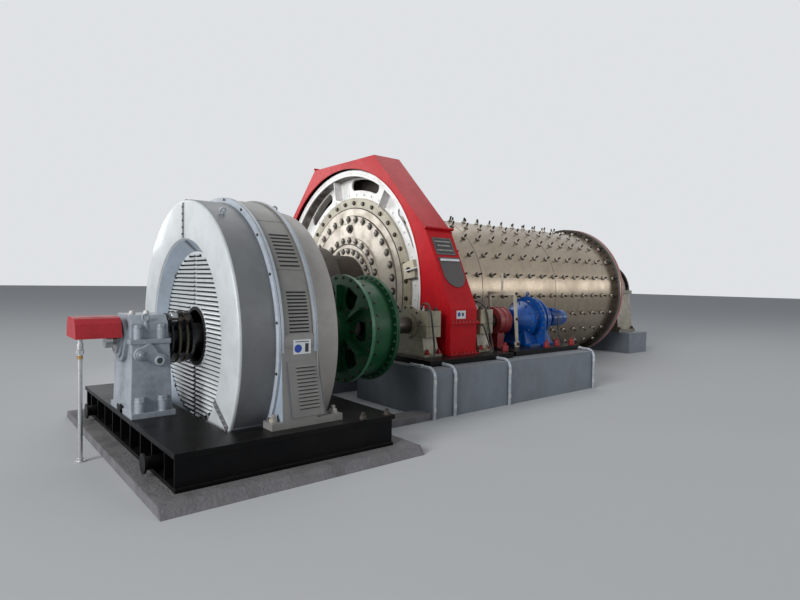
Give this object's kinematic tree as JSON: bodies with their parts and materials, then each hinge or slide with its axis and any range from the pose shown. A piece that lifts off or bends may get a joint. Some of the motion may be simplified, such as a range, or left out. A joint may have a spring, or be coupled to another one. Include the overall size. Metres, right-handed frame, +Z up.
{
  "type": "overflow ball mill",
  "caption": "Horizontal overflow ball mill on concrete piers, with guarded girth gear, low-speed motor, air clutch, pinion drive and inching drive.",
  "frame": {"origin": "on the pit floor under the mill's axis, in the middle of the drive-end bearing pier", "axes": "+X along the mill from the motor towards the feed end, +Y across it away from the pinion, +Z up"},
  "size_m": [12.693, 6.1586, 4.3353],
  "materials": {
    "concrete": "cast concrete, painted grey and worn",
    "black_paint": "black gloss paint, dusty",
    "grey_paint": "pale grey paint",
    "mid_grey": "grey paint on castings",
    "olive_paint": "pale olive paint on castings",
    "red_paint": "bright red paint",
    "blue_paint": "blue paint",
    "green_paint": "blue-green paint",
    "white_paint": "white paint",
    "tan_paint": "tan and silver paint",
    "black_iron": "dark greased steel teeth",
    "steel": "machined steel",
    "galvanised": "zinc-coated pipe"
  },
  "bodies": {
    "plant": {"motor_pad": "concrete", "pinion_plinth": "concrete", "drive_pier": "concrete", "feed_pier": "concrete", "motor_bed": "black_paint", "stator_frame": "grey_paint", "front_cover": "grey_paint", "front_grille": "grey_paint", "rear_cover": "grey_paint", "front_pedestal": "mid_grey", "rear_pedestal": "mid_grey", "brush_gear": "mid_grey", "air_union_guard": "red_paint", "air_supply_pipe": "galvanised", "guard_top": "red_paint", "guard_front": "red_paint", "guard_sump": "red_paint", "guard_rear": "red_paint", "guard_pit": "red_paint", "inspection_cover": "red_paint", "pinion_sole_plate": "black_paint", "near_pinion_bearing": "olive_paint", "far_pinion_bearing": "olive_paint", "slow_drive_base": "black_paint", "coupling_guard": "red_paint", "slow_drive_gearbox": "blue_paint", "slow_drive_motor": "blue_paint", "engaging_lever": "olive_paint", "drive_bearing": "mid_grey", "feed_bearing": "mid_grey", "cable_conduits": "white_paint"},
    "mill": {"mill_shell": "tan_paint", "drive_head": "olive_paint", "feed_head": "tan_paint", "feed_collar": "tan_paint", "gear_web": "white_paint", "gear_rim_a": "black_iron", "gear_rim_b": "black_iron"},
    "pinion_set": {"pinion_shaft": "steel", "pinion": "black_iron", "clutch_drum": "green_paint"},
    "motor_rotor": {"motor_shaft": "steel", "rotor_wheel": "black_iron", "slip_rings": "steel", "clutch_spider": "green_paint", "clutch_rim": "green_paint"}
  },
  "joints": [
    {"name": "mill_spin", "type": "hinge", "parent": "plant", "child": "mill", "pos_m": [0, 0, 2.156], "axis": [1, 0, 0], "continuous": true},
    {"name": "pinion_spin", "type": "hinge", "parent": "plant", "child": "pinion_set", "pos_m": [0, -2.24464, 1.756], "axis": [1, 0, 0], "continuous": true},
    {"name": "motor_spin", "type": "hinge", "parent": "plant", "child": "motor_rotor", "pos_m": [0, -2.24464, 1.756], "axis": [1, 0, 0], "continuous": true}
  ],
  "couplings": [
    {"joint": "pinion_spin", "follows": "mill_spin", "ratio": -8.5}
  ]
}
